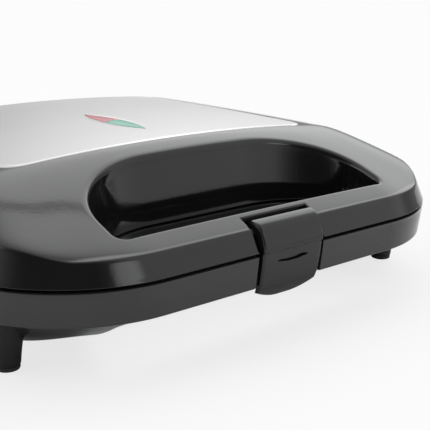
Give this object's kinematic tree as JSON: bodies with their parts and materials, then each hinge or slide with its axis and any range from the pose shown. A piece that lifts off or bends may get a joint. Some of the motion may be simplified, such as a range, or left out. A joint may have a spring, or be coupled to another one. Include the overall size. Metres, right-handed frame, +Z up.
{
  "type": "sandwich toaster",
  "caption": "Sandwich toaster with a domed hinged lid over cooking plates, a steel trim plate with a leaf-shaped indicator, a front loop grip and a snap latch.",
  "frame": {"origin": "middle of the object's footprint, on the table", "axes": "+Z up, front with the grip and the latch towards -Y, +X to the right seen from the front; +Y runs front to back"},
  "size_m": [0.225, 0.2342, 0.0645],
  "materials": {
    "lid_plastic": "high gloss black moulding",
    "base_plastic": "gloss black moulding",
    "latch_plastic": "gloss black moulding",
    "liner_plastic": "fine matt black moulding",
    "hinge_plastic": "satin black moulding",
    "cover_plastic": "matt black moulding",
    "foot_plastic": "matt black moulding",
    "pad_rubber": "matt rubber",
    "gland_rubber": "matt rubber",
    "trim_steel": "finely brushed, light grey",
    "nonstick": "satin nonstick coating on a die-cast plate",
    "element_steel": "dull heat-tinted steel tube",
    "shield": "bare pressed sheet",
    "screw_steel": "zinc plated",
    "pin_steel": "ground steel",
    "insulator": "cream heat-resistant moulding",
    "brass_tag": "stamped brass",
    "lead_red": "silicone-covered wire",
    "fuse_metal": "small metal can",
    "lens_green": "translucent mint green window",
    "lens_red": "translucent pale red window",
    "lamp_green": "small neon lamp",
    "lamp_red": "small neon lamp"
  },
  "bodies": {
    "base": {"base_shell": "base_plastic", "base_liner": "liner_plastic", "lower_grill_plate": "nonstick", "lower_plate_screws": "screw_steel", "lower_element": "element_steel", "lower_heat_shield": "shield", "bottom_cover": "cover_plastic", "bottom_cover_screws": "screw_steel", "base_liner_screws": "screw_steel", "front_feet": "foot_plastic", "rear_feet": "foot_plastic", "foot_pads": "pad_rubber", "foot_screws": "screw_steel", "terminal_block": "insulator", "cord_gland": "gland_rubber", "cord_clamp": "insulator", "base_leads": "lead_red", "earth_tag": "brass_tag", "left_base_hinge": "hinge_plastic", "right_base_hinge": "hinge_plastic", "base_hinge_screws": "screw_steel", "left_hinge_pin": "pin_steel", "right_hinge_pin": "pin_steel"},
    "lid": {"lid_shell": "lid_plastic", "lid_liner": "liner_plastic", "upper_grill_plate": "nonstick", "upper_plate_screws": "screw_steel", "upper_element": "element_steel", "upper_heat_shield": "shield", "thermostat": "insulator", "thermal_fuse": "fuse_metal", "lid_liner_screws": "screw_steel", "left_lid_hinge": "hinge_plastic", "right_lid_hinge": "hinge_plastic", "lid_hinge_screws": "screw_steel", "trim_plate": "trim_steel", "green_lens": "lens_green", "red_lens": "lens_red", "lamp_holder": "insulator", "ready_lamp": "lamp_green", "power_lamp": "lamp_red", "lid_leads": "lead_red", "latch_pin": "pin_steel"},
    "latch": {"latch_clip": "latch_plastic"}
  },
  "joints": [
    {"name": "lid_hinge", "type": "hinge", "parent": "base", "child": "lid", "pos_m": [0, 0.1119, 0.0335], "axis": [-1, 0, 0], "range_deg": [0, 100]},
    {"name": "latch_pivot", "type": "hinge", "parent": "lid", "child": "latch", "pos_m": [0, -0.1092, 0.0401], "axis": [-1, 0, 0], "range_deg": [0, 45]}
  ]
}
